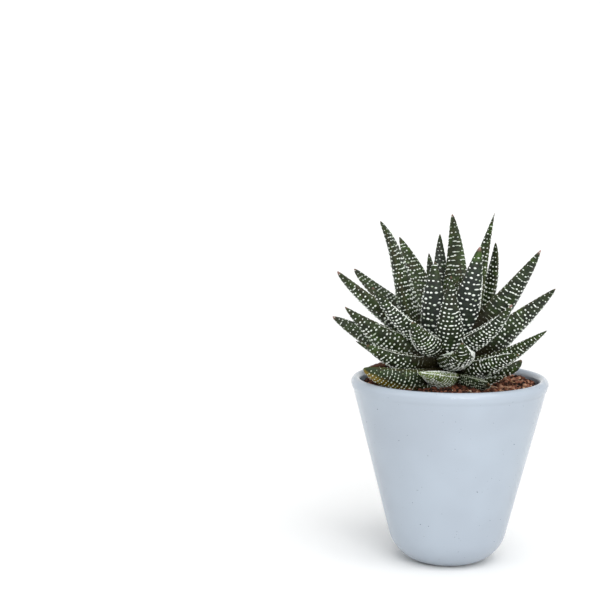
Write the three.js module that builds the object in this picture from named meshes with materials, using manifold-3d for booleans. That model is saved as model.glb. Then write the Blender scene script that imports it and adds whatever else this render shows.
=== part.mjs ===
// A haworthia, a small rosette succulent covered in rows of pearls, in a glazed tapered pot.
// Millimetres, +Z up. The origin is the centre of the pot's flat foot, and -Y is the front.
import * as THREE from 'three';
import { mergeVertices } from 'three/addons/utils/BufferGeometryUtils.js';
import Module from 'manifold-3d';

// ---- Pot ----
const POT_HEIGHT = 112.2;
const RIM_RADIUS = 59.4; // the widest point, just below the rounded lip
const WALL_SLOPE = THREE.MathUtils.degToRad(14.4); // lean of the wall from upright
const CORNER_RADIUS = 24; // the soft round corner between foot and wall
const FOOT_RADIUS = 19; // the flat that the pot stands on
const LIP_WIDTH = 6;
const LIP_RISE = 3.5; // from the widest point to the top of the lip
const BAND_HEIGHT = 7; // the lip and the faint roll under it
const BAND_PROUD = 0.3; // how far that roll stands out of the wall
const BAND_EASE = 1; // it eases out of the wall from this far below its foot to as far above
const WALL_THICKNESS = 5;
const FLOOR_THICKNESS = 8;
const FLOOR_CORNER = 12; // the bevel between the floor and the wall inside
const LIP_INSIDE = 11; // from the top down to where the wall is plain again inside
const POT_SIDES = 36;
const ARC_STEPS = 3; // straight pieces that each rounding is drawn with
const SETTLING_STEPS = 20; // tries that bring the corner's arc to both wall and foot

// ---- Soil ----
const SOIL_EDGE_HEIGHT = 107.7; // where it meets the wall
const SOIL_INSET = 1.2; // keeps it just inside the lip
const SOIL_RADIUS = RIM_RADIUS - LIP_WIDTH - SOIL_INSET;
const SOIL_MOUND = 1; // how much higher it stands around the plant
const MOUND_SLOPE = 0.6; // share of the radius over which it rises
const SOIL_LUMP = 0.6; // half the height of its broad lumps
const SMALL_LUMP = 0.4; // the same for the small ones between them
const LUMP_SIZE = 3.2; // six of these make one broad wave
const SOIL_SIDES = 30;
const SOIL_RINGS = 8;
const GAP = 0.3; // clear space between neighbouring pieces
const LEAF_GAP = 0.8; // the same between leaves, which are cut by a coarser copy

// ---- Stem ----
// It is short and thick, and it narrows towards the heart of the rosette.
const STEM_FOOT = 94;
const STEM_TOP = 133;
const STEM_RADIUS = 8.5;
const STEM_TOP_RADIUS = 3;
const STEM_NECK = 116; // it narrows from here up
const STEM_SIDES = 16;

// ---- Leaves ----
const LEAF_SIDES = 8;
const LEAF_RINGS = 15;
const LEAF_END = 0.985; // share of the length at the last ring, just short of the tip
const ROOT_CLEAR = 1.3; // from the stem to the middle of a leaf's root
const PULL = 0.36; // length of the curve's handles, as a share of the leaf
const WIDEST_AT = 0.22; // share of the length where a leaf is widest
const ROOT_WIDTH = 0.72; // width at the root, as a share of the full width
const KEEL_DEPTH = 0.82; // depth of the outer face below the edges, over half the width
const FACE_DEPTH = 0.2; // the same for the inner face
const KEEL_ROUND = 0.9; // how full the outer face is: below 1 it bulges
const FACE_ROUND = 1.2; // the same for the inner face: above 1 it flattens to its edges
const SWELL_ROUND = 0.8; // how early a leaf widens from its root
const PEARL_HEIGHT = 0.55; // pearls stand in staggered rows, larger than life
const PEARL_SHARE = 0.13; // and shrink with the width, towards the tip

// Every leaf grows from the stem at rootHeight, points to azimuth (0 is +X, -90 is the front),
// and its tip is tipOut from the axis at tipHeight. rootRise and tipRise are its slopes there,
// in degrees above level. Sway bends it sideways, and turn rolls it about its own length.
// The heights are above the table. The rows run from the innermost leaf to the outermost.
const LEAVES = [
  // name, azimuth, tipOut, tipHeight, rootRise, tipRise, width, rootHeight, sway, turn, taper
  ['heart_1', 50, 9, 174, 75, 90, 9, 134, 0, 0, 0.68],
  ['heart_2', 190, 8, 175, 75, 90, 8, 134, 0, 0, 0.68],
  ['heart_3', -60, 7, 171, 75, 90, 7, 134, 0, 0, 0.68],
  ['inner_1', -114.5, 22.5, 183.5, 44, 102, 24, 132, 0, -3, 0.68],
  ['inner_2', 90, 35.5, 208, 65, 74, 19, 131.5, -3, -8, 0.62],
  ['inner_3', -61, 33.5, 193.5, 50, 80, 21, 134, -2, -13, 0.62],
  ['inner_4', 166.5, 44.5, 205, 41, 49, 23, 126.5, 0.5, -4, 0.56],
  ['inner_5', 48, 39, 210, 62, 66, 20, 130, 0.5, 0, 0.95],
  ['inner_6', -90, 40, 177.5, 29, 74, 19.5, 129, -0.5, -1, 0.72],
  ['upper_1', -26.5, 57.5, 192, 48, 55, 24, 128.5, 0.5, -24, 0.7],
  ['upper_2', 132.5, 48, 193.5, 61, 52, 25.5, 126.5, -1.5, -3, 0.68],
  ['upper_3', -56.5, 62.5, 163, 25, 45, 18, 130, -0.5, -9, 0.62],
  ['upper_4', -131.5, 67.5, 171.5, 32, 43, 16.5, 127.5, -1, 12, 0.6],
  ['upper_5', -164.5, 69.5, 177, 46, 43, 20.5, 125, 0.5, 17, 0.5],
  ['upper_6', 99.5, 45, 195, 50, 75, 18, 126, 0.5, 3, 0.68],
  ['upper_7', 37.5, 33.5, 192, 46, 96, 17, 126, 3, 2, 0.6],
  ['upper_8', 70, 60, 172, 35, 50, 16, 125, 0, 0, 0.68],
  ['middle_1', -118.5, 46, 150.5, 9, 51, 21.5, 131, 0, 22, 0.62],
  ['middle_2', -83, 55.5, 141, 17, 43, 22.5, 125.5, 1.5, 9, 0.66],
  ['middle_3', 105, 55, 182, 38, 62, 17, 123, 0, 0, 0.68],
  ['middle_4', 152, 68, 173.5, 56, 41, 18.5, 125.5, -0.5, -20, 0.52],
  ['middle_5', -22.5, 65.5, 169.5, 40, 42, 23.5, 121.5, -1, -33, 0.68],
  ['middle_6', 122, 60, 164, 30, 48, 16, 122, 0, 0, 0.68],
  ['middle_7', -153.5, 69, 157.5, 26, 41, 25.5, 120.5, 0.5, 42, 0.78],
  ['middle_8', 92, 66, 154, 22, 38, 16, 120, 0, 0, 0.68],
  ['middle_9', 4, 52, 158, 34, 40, 14, 120, 0, 0, 0.68],
  ['middle_10', -36, 68.5, 147, 10, 33, 17.5, 118.5, 0, -34, 0.78],
  ['lower_1', -140, 62.5, 136.5, -9, 27, 20, 125.5, -1, 25, 0.5],
  ['lower_2', 165, 75, 145, 16, 25, 22.5, 119, -0.5, -30, 0.6],
  ['lower_3', -50, 61, 133.5, -12, 11, 14, 121, 1.5, -39, 0.5],
  ['lower_4', 135, 62, 145, 15, 30, 15, 117, 0, 0, 0.68],
  ['lower_5', 52, 58, 135, 10, 28, 16, 116, 0, 0, 0.68],
  ['lower_6', -165, 58, 135, 8, 22, 17, 115, 0, 0, 0.68],
  ['lower_7', 113, 58, 132, 6, 22, 15, 115, 0, 0, 0.68],
  ['lower_8', -18.5, 44.5, 125.5, 14, 54, 18.5, 119.5, -1.5, -32, 0.52],
  ['lower_9', 27, 52, 131, 8, 28, 15, 115, 0, 0, 0.68],
  ['bottom_1', -111.5, 49.5, 122, 7, 9, 21, 115, 2.5, 4, 0.78],
  ['bottom_2', -141, 64, 122.8, -5, 20, 26, 113, 1.5, 38, 0.52],
  ['bottom_3', -61.5, 48, 115.5, -4, 8, 11.5, 112.5, 3.5, -50, 0.42],
  ['bottom_4', -38, 42, 118, 3, 20, 13, 112, 0, 0, 0.68],
  ['bottom_5', 90, 50, 121, 4, 15, 14, 113, 0, 0, 0.68],
  ['bottom_6', -122, 38, 111, 0, 0, 12, 111, 0, 0, 0.68],
];
// A withered leaf, brown all over, hangs down to the soil on the left.
const DRIED_LEAF = ['dried_leaf', 175, 52, 115, 20, -25, 15, 117, 0, 0, 0.68];

const POT_MATERIAL = { color: '#cbd5df', roughness: 0.15, metalness: 0 };
const SOIL_MATERIAL = { color: '#5c3b2d', roughness: 0.95, metalness: 0 };
const STEM_MATERIAL = { color: '#6d6437', roughness: 0.7, metalness: 0 };
const LEAF_MATERIAL = { color: '#4f6149', roughness: 0.55, metalness: 0 };
const PALE_LEAF_MATERIAL = { color: '#8e9b72', roughness: 0.55, metalness: 0 };
const OLD_LEAF_MATERIAL = { color: '#66702f', roughness: 0.6, metalness: 0 };
const DRIED_LEAF_MATERIAL = { color: '#6b4433', roughness: 0.85, metalness: 0 };

const wasm = await Module();
wasm.setup();

const plant = new THREE.Group();

function addPiece(name, geometry, material) {
  const mesh = new THREE.Mesh(geometry, new THREE.MeshStandardMaterial(material));
  mesh.name = name;
  plant.add(mesh);
}

// Raised points are staggered: every other point of a ring, and between them in the next.
const isRaised = (ring, side) => (ring + side) % 2 === 0;

// ---- Solids ----

function toSolid(geometry) {
  const bare = geometry.clone();
  bare.deleteAttribute('normal');
  bare.deleteAttribute('uv');
  const merged = mergeVertices(bare, 1e-4);
  const vertProperties = new Float32Array(merged.attributes.position.array);
  const triVerts = new Uint32Array(merged.index.array);
  return new wasm.Manifold(new wasm.Mesh({ numProp: 3, vertProperties, triVerts }));
}

function toGeometry(solid) {
  const mesh = solid.getMesh();
  const geometry = new THREE.BufferGeometry();
  geometry.setAttribute('position', new THREE.BufferAttribute(mesh.vertProperties, 3));
  geometry.setIndex(new THREE.BufferAttribute(mesh.triVerts, 1));
  geometry.computeVertexNormals();
  return geometry;
}

function largestBody(solid) {
  const bodies = solid.decompose();
  return bodies.reduce((best, body) => (body.volume() > best.volume() ? body : best));
}

// A closed skin over rings of points with the same count, closed by a fan at both ends.
// Each four-sided cell is split from low point to low point, so raised points stay peaks.
function skinOver(startPoint, rings, endPoint, isRaised) {
  const sides = rings[0].length;
  const points = [startPoint, ...rings.flat(), endPoint];
  const end = points.length - 1;
  const at = (ring, side) => 1 + ring * sides + (side % sides);
  const faces = [];
  for (let side = 0; side < sides; side++) {
    faces.push(0, at(0, side + 1), at(0, side));
    faces.push(end, at(rings.length - 1, side), at(rings.length - 1, side + 1));
  }
  for (let ring = 0; ring + 1 < rings.length; ring++) {
    for (let side = 0; side < sides; side++) {
      const [a, b] = [at(ring, side), at(ring, side + 1)];
      const [c, d] = [at(ring + 1, side + 1), at(ring + 1, side)];
      if (isRaised(ring, side)) {
        faces.push(a, b, d, b, c, d);
      } else {
        faces.push(a, b, c, a, c, d);
      }
    }
  }
  const geometry = new THREE.BufferGeometry().setFromPoints(points);
  geometry.setIndex(faces);
  geometry.computeVertexNormals();
  return geometry;
}

// ---- Pot ----

// The straight part of the outer wall, as a radius for a height.
const widestHeight = POT_HEIGHT - LIP_RISE;
const wallTan = Math.tan(WALL_SLOPE);
const wallRadius = (height) => RIM_RADIUS - BAND_PROUD + (height - widestHeight) * wallTan;

// The corner is an arc that meets the wall smoothly and is cut flat at the foot.
function cornerCentre() {
  let height = CORNER_RADIUS;
  for (let step = 0; step < SETTLING_STEPS; step++) {
    const radius = wallRadius(height) - CORNER_RADIUS / Math.cos(WALL_SLOPE);
    height = Math.sqrt(CORNER_RADIUS ** 2 - (FOOT_RADIUS - radius) ** 2);
  }
  return new THREE.Vector2(wallRadius(height) - CORNER_RADIUS / Math.cos(WALL_SLOPE), height);
}

function potProfile() {
  const centre = cornerCentre();
  const lipCentre = new THREE.Vector2(RIM_RADIUS - LIP_WIDTH / 2, widestHeight);
  const bandFoot = POT_HEIGHT - BAND_HEIGHT;
  const outline = new THREE.Path();
  outline.moveTo(0, 0);
  outline.lineTo(FOOT_RADIUS, 0);
  const cornerStart = Math.atan2(-centre.y, FOOT_RADIUS - centre.x);
  outline.absarc(centre.x, centre.y, CORNER_RADIUS, cornerStart, -WALL_SLOPE, false);
  outline.lineTo(wallRadius(bandFoot - BAND_EASE), bandFoot - BAND_EASE);
  outline.lineTo(wallRadius(bandFoot + BAND_EASE) + BAND_PROUD, bandFoot + BAND_EASE);
  outline.absellipse(lipCentre.x, lipCentre.y, LIP_WIDTH / 2, LIP_RISE, 0, Math.PI, false, 0);
  const lipFoot = POT_HEIGHT - LIP_INSIDE;
  outline.lineTo(wallRadius(lipFoot) - WALL_THICKNESS, lipFoot);
  const floorCorner = FLOOR_THICKNESS + FLOOR_CORNER;
  outline.lineTo(wallRadius(floorCorner) - WALL_THICKNESS, floorCorner);
  const floorRadius = wallRadius(FLOOR_THICKNESS) - WALL_THICKNESS - FLOOR_CORNER / 2;
  outline.lineTo(floorRadius, FLOOR_THICKNESS);
  outline.lineTo(0, FLOOR_THICKNESS);
  return outline.getPoints(ARC_STEPS);
}

function pot() {
  const profile = potProfile();
  const points = profile.filter((point, i) => i === 0 || point.distanceTo(profile[i - 1]) > 0.01);
  const geometry = new THREE.LatheGeometry(points, POT_SIDES);
  geometry.rotateX(Math.PI / 2); // the axis stands up along +Z
  geometry.deleteAttribute('normal');
  geometry.deleteAttribute('uv');
  return mergeVertices(geometry, 1e-3);
}

// ---- Soil ----

// Lumps from a few crossing waves, as the peat has been pressed in by hand.
function soilLump(x, y) {
  const [u, v] = [x / LUMP_SIZE, y / LUMP_SIZE];
  const broad = Math.sin(u + 1.2) * Math.cos(0.9 * v - 0.4);
  const small = Math.sin(2.7 * u - 1.7 * v) * Math.cos(3 * v + 0.7 * u);
  return SOIL_LUMP * broad + SMALL_LUMP * small;
}

function soilMound(x, y) {
  const slope = 1 - Math.hypot(x, y) / SOIL_RADIUS;
  return SOIL_EDGE_HEIGHT + SOIL_MOUND * THREE.MathUtils.smoothstep(slope, 0, MOUND_SLOPE);
}

function ringOfPoints(sides, radius, heightAt) {
  const ring = [];
  for (let side = 0; side < sides; side++) {
    const angle = (side / sides) * 2 * Math.PI;
    const x = radius * Math.cos(angle);
    const y = radius * Math.sin(angle);
    ring.push(new THREE.Vector3(x, y, heightAt(x, y)));
  }
  return ring;
}

// The pot's inside is a polygon too, so the soil keeps inside its flats.
const soilRadius = (height) => {
  const wall = wallRadius(height) - WALL_THICKNESS;
  return wall * Math.cos(Math.PI / POT_SIDES) - GAP;
};

// The filling from the pot's floor to its lumpy top, with a plain hole for the stem.
function soil() {
  const bottom = FLOOR_THICKNESS + GAP;
  const corner = FLOOR_THICKNESS + FLOOR_CORNER + GAP;
  const shoulder = SOIL_EDGE_HEIGHT - LIP_INSIDE;
  const rings = [];
  rings.push(ringOfPoints(SOIL_SIDES, soilRadius(bottom) - FLOOR_CORNER / 2 - GAP, () => bottom));
  rings.push(ringOfPoints(SOIL_SIDES, soilRadius(corner), () => corner));
  rings.push(ringOfPoints(SOIL_SIDES, soilRadius(shoulder), () => shoulder));
  const hole = STEM_RADIUS + GAP;
  for (let ring = 0; ring < SOIL_RINGS; ring++) {
    const radius = THREE.MathUtils.lerp(SOIL_RADIUS, hole, ring / (SOIL_RINGS - 1));
    rings.push(ringOfPoints(SOIL_SIDES, radius, (x, y) => soilMound(x, y) + soilLump(x, y)));
  }
  const holeBottom = STEM_FOOT - GAP;
  rings.push(ringOfPoints(SOIL_SIDES, hole, () => holeBottom));
  const start = new THREE.Vector3(0, 0, bottom);
  const end = new THREE.Vector3(0, 0, holeBottom);
  return skinOver(start, rings, end, isRaised);
}

// A plain mound that takes in the lumps and the gap above them.
function smoothSoil() {
  const lift = SOIL_LUMP + SMALL_LUMP + GAP;
  const rise = (1 - MOUND_SLOPE) * SOIL_RADIUS;
  const rings = [
    ringOfPoints(SOIL_SIDES, SOIL_RADIUS, () => STEM_FOOT),
    ringOfPoints(SOIL_SIDES, SOIL_RADIUS, () => SOIL_EDGE_HEIGHT + lift),
    ringOfPoints(SOIL_SIDES, rise, () => SOIL_EDGE_HEIGHT + SOIL_MOUND + lift),
  ];
  const start = new THREE.Vector3(0, 0, STEM_FOOT);
  const end = new THREE.Vector3(0, 0, SOIL_EDGE_HEIGHT + SOIL_MOUND + lift);
  return skinOver(start, rings, end, isRaised);
}

// ---- Stem ----

function stemRadius(height) {
  const share = THREE.MathUtils.clamp((height - STEM_NECK) / (STEM_TOP - STEM_NECK), 0, 1);
  return THREE.MathUtils.lerp(STEM_RADIUS, STEM_TOP_RADIUS, share);
}

function stem(clearance) {
  const points = [
    new THREE.Vector2(0, STEM_FOOT - clearance),
    new THREE.Vector2(STEM_RADIUS + clearance, STEM_FOOT - clearance),
    new THREE.Vector2(STEM_RADIUS + clearance, STEM_NECK),
    new THREE.Vector2(STEM_TOP_RADIUS + clearance, STEM_TOP + clearance),
    new THREE.Vector2(0, STEM_TOP + clearance),
  ];
  const geometry = new THREE.LatheGeometry(points, STEM_SIDES);
  geometry.rotateX(Math.PI / 2);
  geometry.deleteAttribute('normal');
  geometry.deleteAttribute('uv');
  return mergeVertices(geometry, 1e-3);
}

// ---- Leaves ----

// The middle line of a leaf: a curve in an upright plane, bent a little sideways.
class LeafLine extends THREE.Curve {
  constructor(azimuth, tipOut, tipHeight, rootRise, tipRise, rootHeight, sway) {
    super();
    const rad = THREE.MathUtils.degToRad;
    const root = new THREE.Vector2(stemRadius(rootHeight) + ROOT_CLEAR, rootHeight);
    const tip = new THREE.Vector2(tipOut, tipHeight);
    const handle = PULL * root.distanceTo(tip);
    const rootHandle = new THREE.Vector2(Math.cos(rad(rootRise)), Math.sin(rad(rootRise)));
    const tipHandle = new THREE.Vector2(Math.cos(rad(tipRise)), Math.sin(rad(tipRise)));
    const outOfRoot = root.clone().addScaledVector(rootHandle, handle);
    const intoTip = tip.clone().addScaledVector(tipHandle, -handle);
    this.bow = new THREE.CubicBezierCurve(root, outOfRoot, intoTip, tip);
    this.outward = new THREE.Vector3(Math.cos(rad(azimuth)), Math.sin(rad(azimuth)), 0);
    this.sideways = new THREE.Vector3(-Math.sin(rad(azimuth)), Math.cos(rad(azimuth)), 0);
    this.sway = sway;
  }

  getPoint(t) {
    const bowed = this.bow.getPoint(t);
    const point = this.outward.clone().multiplyScalar(bowed.x);
    point.z = bowed.y;
    return point.addScaledVector(this.sideways, this.sway * 4 * t * (1 - t));
  }
}

function leafHalfWidth(width, taper, t) {
  const swell = Math.min(t / WIDEST_AT, 1) ** SWELL_ROUND;
  const fullest = (1 - WIDEST_AT) ** taper;
  const share = ((1 - t) ** taper / fullest) * (ROOT_WIDTH + (1 - ROOT_WIDTH) * swell);
  return (width / 2) * share;
}

// With a clearance, this is a smooth copy that takes in the pearls and the gap around them.
// Its rings are every second one of the leaf's.
function leaf(row, clearance) {
  const [, azimuth, tipOut, tipHeight, rootRise, tipRise, width, rootHeight, ...rest] = row;
  const [sway, turn, taper] = rest;
  const line = new LeafLine(azimuth, tipOut, tipHeight, rootRise, tipRise, rootHeight, sway);
  const rings = [];
  for (let ring = 0; ring < LEAF_RINGS; ring += clearance > 0 ? 2 : 1) {
    const t = (LEAF_END * ring) / (LEAF_RINGS - 1);
    const centre = line.getPoint(t);
    const along = line.getTangent(t);
    const across = line.sideways.clone().addScaledVector(along, -line.sideways.dot(along));
    across.normalize().applyAxisAngle(along, THREE.MathUtils.degToRad(turn));
    const inward = new THREE.Vector3().crossVectors(along, across);
    const half = leafHalfWidth(width, taper, t);
    const pearl = Math.min(PEARL_HEIGHT, half * PEARL_SHARE);
    const points = [];
    for (let side = 0; side < LEAF_SIDES; side++) {
      const angle = (side / LEAF_SIDES) * 2 * Math.PI;
      const sine = Math.sin(angle);
      const keel = -KEEL_DEPTH * Math.abs(sine) ** KEEL_ROUND;
      const depth = sine < 0 ? keel : FACE_DEPTH * sine ** FACE_ROUND;
      const raise = clearance > 0 ? pearl + clearance : isRaised(ring, side) * pearl;
      const point = centre.clone();
      point.addScaledVector(across, half * Math.cos(angle) + raise * Math.cos(angle));
      point.addScaledVector(inward, half * depth + raise * sine);
      points.push(point);
    }
    rings.push(points);
  }
  const root = line.getPoint(0).addScaledVector(line.getTangent(0), -clearance);
  const tip = line.getPoint(1).addScaledVector(line.getTangent(1), clearance);
  return skinOver(root, rings, tip, isRaised);
}

function leafMaterial(name) {
  if (name === 'bottom_1') return PALE_LEAF_MATERIAL;
  if (name === 'bottom_2') return OLD_LEAF_MATERIAL;
  return LEAF_MATERIAL;
}

// ---- The whole plant in its pot ----

addPiece('pot', pot(), POT_MATERIAL);
addPiece('soil', soil(), SOIL_MATERIAL);
addPiece('stem', stem(0), STEM_MATERIAL);

// Leaf roots clasp each other: each leaf is cut where an inner one, the stem or soil is.
const placed = [toSolid(stem(GAP)), toSolid(smoothSoil())];
for (const row of [...LEAVES, DRIED_LEAF]) {
  const name = row[0];
  let solid = toSolid(leaf(row, 0));
  for (const inner of placed) {
    solid = solid.subtract(inner);
  }
  placed.push(toSolid(leaf(row, LEAF_GAP)));
  const isDried = name === 'dried_leaf';
  const material = isDried ? DRIED_LEAF_MATERIAL : leafMaterial(name);
  addPiece(isDried ? name : `leaf_${name}`, toGeometry(largestBody(solid)), material);
}

export default plant;
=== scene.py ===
# A haworthia, a small rosette succulent with pearled leaves, in a glazed pot. Millimetres in the
# shape code, metres in the meshes. +Z is up, the pot's foot stands on z = 0 and -Y is the front.
import math
import random

import bpy
import numpy as np
from mathutils import Matrix, Vector, noise


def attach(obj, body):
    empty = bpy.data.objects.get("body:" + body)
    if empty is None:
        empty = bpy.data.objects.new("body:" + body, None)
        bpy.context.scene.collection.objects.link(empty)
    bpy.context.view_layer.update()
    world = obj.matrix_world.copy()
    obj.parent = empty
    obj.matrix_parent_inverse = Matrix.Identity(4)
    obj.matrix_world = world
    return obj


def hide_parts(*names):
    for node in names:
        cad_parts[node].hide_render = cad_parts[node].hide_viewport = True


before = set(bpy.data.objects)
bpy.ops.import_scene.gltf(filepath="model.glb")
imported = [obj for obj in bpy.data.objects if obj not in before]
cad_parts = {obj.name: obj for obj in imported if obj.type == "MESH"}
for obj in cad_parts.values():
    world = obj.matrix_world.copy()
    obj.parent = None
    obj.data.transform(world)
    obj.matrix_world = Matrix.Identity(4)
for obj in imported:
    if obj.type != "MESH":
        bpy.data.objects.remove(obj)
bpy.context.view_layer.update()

mm = 0.001
fullTurn = 2 * math.pi
print("frame loaded:", len(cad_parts), "nodes")


def eased(share):
    # from 0 to 1 and slow at both ends, for one number or for many
    share = np.clip(share, 0, 1)
    return share * share * (3 - 2 * share)


# shader maths

class Wire:
    # a socket of a node tree, with which a sum written in Python becomes nodes
    def __init__(self, tree, socket=None):
        self.tree = tree
        self.socket = socket

    def node(self, kind, settings=None, sockets=None, out=0):
        made = self.tree.nodes.new(kind)
        for key, value in (settings or {}).items():
            if key == "stops":
                ramp = made.color_ramp.elements
                while len(ramp) < len(value):
                    ramp.new(0.5)
                for stop, (place, colour) in zip(ramp, value):
                    stop.position = place
                    stop.color = colour
            else:
                setattr(made, key, value)
        for key, value in (sockets or {}).items():
            if isinstance(value, Wire):
                self.tree.links.new(value.socket, made.inputs[key])
            else:
                made.inputs[key].default_value = value
        return Wire(self.tree, made.outputs[out] if len(made.outputs) else None)

    def maths(self, operation, first, second=0.0):
        return self.node("ShaderNodeMath", {"operation": operation}, {0: first, 1: second})

    def __add__(self, other):
        return self.maths("ADD", self, other)

    def __sub__(self, other):
        return self.maths("SUBTRACT", self, other)

    def __rsub__(self, other):
        return self.maths("SUBTRACT", other, self)

    def __mul__(self, other):
        return self.maths("MULTIPLY", self, other)

    def __abs__(self):
        return self.maths("ABSOLUTE", self)

    __radd__ = __add__
    __rmul__ = __mul__

    def above(self, low, high):
        # 0 below low, 1 above high, and smooth between them
        sockets = {"Value": self, "From Min": low, "From Max": high}
        return self.node("ShaderNodeMapRange", {"interpolation_type": "SMOOTHSTEP"}, sockets)

    def mix(self, mask, first, second):
        # the first colour where mask is 0 and the second where it is 1
        return self.node("ShaderNodeMix", {"data_type": "RGBA"}, {0: mask, 6: first, 7: second}, 2)

    def value(self, name):
        # a number that each point of the mesh carries
        return self.node("ShaderNodeAttribute", {"attribute_name": name}, out="Fac")

    def noise(self, size, detail=3, offset=0.0):
        # cloudy noise whose lumps are about size millimetres across
        place = self.node("ShaderNodeTexCoord", out="Object")
        place = self.node("ShaderNodeMapping", {}, {"Vector": place, "Location": (offset, 0, 0)})
        sockets = {"Vector": place, "Scale": 1 / (size * mm), "Detail": detail, "Roughness": 0.6}
        return self.node("ShaderNodeTexNoise", {}, sockets)

    def bump(self, height, depth):
        # depth in millimetres
        sockets = {"Height": height, "Distance": depth * mm, "Strength": 1.0}
        return self.node("ShaderNodeBump", {}, sockets)

    def finish(self, sockets):
        shader = self.node("ShaderNodeBsdfPrincipled", {}, sockets)
        self.node("ShaderNodeOutputMaterial", {}, {"Surface": shader})


def newMaterial(name):
    material = bpy.data.materials.new(name)
    material.use_nodes = True
    material.node_tree.nodes.clear()
    return material, Wire(material.node_tree)


def paint(code):
    # a screen colour such as "4f6149" as the linear colour that a shader takes
    parts = [int(code[i:i + 2], 16) / 255 for i in (0, 2, 4)]
    return tuple(c / 12.92 if c < 0.04045 else ((c + 0.055) / 1.055) ** 2.4 for c in parts) + (1.0,)


# pieces

def makeObject(name, points, faces, material, values=None):
    # points in metres; values are the numbers that the material reads at each point
    mesh = bpy.data.meshes.new(name)
    mesh.from_pydata(np.asarray(points).tolist(), [], faces)
    for key, numbers in (values or {}).items():
        mesh.attributes.new(key, "FLOAT", "POINT").data.foreach_set("value", numbers)
    mesh.materials.append(material)
    mesh.shade_smooth()
    mesh.update()
    made = bpy.data.objects.new(name, mesh)
    bpy.context.scene.collection.objects.link(made)
    return made


def makePiece(name, points, faces, material, node=None, values=None):
    # points in millimetres; node is the part of the frame that the piece stands for
    piece = makeObject(name, np.asarray(points) * mm, faces, material, values)
    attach(piece, "root")
    if node:
        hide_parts(node)


def skinFaces(rings, sides):
    # rings of points 1 to rings * sides, closed by point 0 and by the last point
    faces = []
    last = rings * sides + 1
    for side in range(sides):
        after = (side + 1) % sides
        faces.append((0, 1 + after, 1 + side))
        faces.append((last, last - sides + side, last - sides + after))
        for ring in range(rings - 1):
            low, high = 1 + ring * sides, 1 + (ring + 1) * sides
            faces.append((low + side, low + after, high + after, high + side))
    return faces


def lathe(profile, sides):
    # profile from (0, low) round to (0, high) as (radius, height); its ends lie on the axis
    angles = np.arange(sides) / sides * fullTurn
    radius = np.array([p[0] for p in profile[1:-1]])[:, None]
    height = np.array([p[1] for p in profile[1:-1]])[:, None]
    rings = np.stack([radius * np.cos(angles), radius * np.sin(angles), height + 0 * angles], axis=2)
    ends = [(0, 0, profile[0][1]), (0, 0, profile[-1][1])]
    points = np.concatenate([[ends[0]], rings.reshape(-1, 3), [ends[1]]])
    return points, skinFaces(len(profile) - 2, sides)


# pot

potShape = {
    "height": 112.2,
    "rimRadius": 59.4,
    "wallSlope": math.radians(14.4),
    "cornerRadius": 24,
    "footRadius": 19,
    "lipWidth": 6,
    "lipRise": 3.5,
    "bandHeight": 7,  # from the top of the lip down to the rolled band
    "bandProud": 0.3,
    "bandEase": 1.2,  # half the height over which the band swells out of the wall
    "wallThickness": 5,
    "floorThickness": 8,
    "floorCorner": 12,
    "lipInside": 11,
    "cornerSteps": 28,
    "wallSteps": 14,
    "bandSteps": 7,
    "lipSteps": 26,
    "insideSteps": 8,
    "sides": 192,
}


def wallRadius(height):
    # the outside of the sloping wall, without the rolled band
    shape = potShape
    widest = shape["height"] - shape["lipRise"]
    return shape["rimRadius"] - shape["bandProud"] + (height - widest) * math.tan(shape["wallSlope"])


def potProfile():
    # from the middle of the foot up the outside, over the lip and down to the middle of the floor
    shape = potShape
    slope, corner, foot = shape["wallSlope"], shape["cornerRadius"], shape["footRadius"]
    centreHeight = corner
    for step in range(20):  # settles where the corner's arc meets both the wall and the foot
        centreRadius = wallRadius(centreHeight) - corner / math.cos(slope)
        centreHeight = math.sqrt(corner ** 2 - (foot - centreRadius) ** 2)
    profile = [(0, 0), (foot * 0.5, 0), (foot - 1, 0)]
    start = math.atan2(-centreHeight, foot - centreRadius)
    for angle in np.linspace(start, -slope, shape["cornerSteps"]):
        height = centreHeight + corner * math.sin(angle)
        profile.append((centreRadius + corner * math.cos(angle), height))
    bandFoot = shape["height"] - shape["bandHeight"]
    wallTop = bandFoot - shape["bandEase"]
    for height in np.linspace(profile[-1][1], wallTop, shape["wallSteps"])[1:]:
        profile.append((wallRadius(height), height))
    for share in np.linspace(0, 1, shape["bandSteps"])[1:]:
        height = wallTop + 2 * shape["bandEase"] * share
        profile.append((wallRadius(height) + shape["bandProud"] * eased(share), height))
    widest = shape["height"] - shape["lipRise"]
    middle = shape["rimRadius"] - shape["lipWidth"] / 2
    for angle in np.linspace(0, math.pi, shape["lipSteps"]):
        radius = middle + shape["lipWidth"] / 2 * math.cos(angle)
        profile.append((radius, widest + shape["lipRise"] * math.sin(angle)))
    lipFoot = shape["height"] - shape["lipInside"]
    floorCorner = shape["floorThickness"] + shape["floorCorner"]
    for height in np.linspace(lipFoot, floorCorner, shape["insideSteps"]):
        profile.append((wallRadius(height) - shape["wallThickness"], height))
    floor = shape["floorThickness"]
    floorRadius = wallRadius(floor) - shape["wallThickness"] - shape["floorCorner"] / 2
    return profile + [(floorRadius, floor), (floorRadius / 2, floor), (0, floor)]


glazeLook = {
    "colour": paint("a9b3be"),
    "cloud": paint("a4adb8"),
    "cloudSize": 45,  # sizes and depths of a surface are in millimetres
    "speck": paint("4c5056"),
    "speckSize": 1.3,
    "specksFrom": (0.76, 0.8),  # higher numbers make fewer specks
    "speckStrength": 0.8,
    "roughness": 0.05,
    "roughnessSpread": 0.04,
    "roughnessSize": 9,
    "rippleSize": 5,
    "rippleDepth": 0.02,
}


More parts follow.
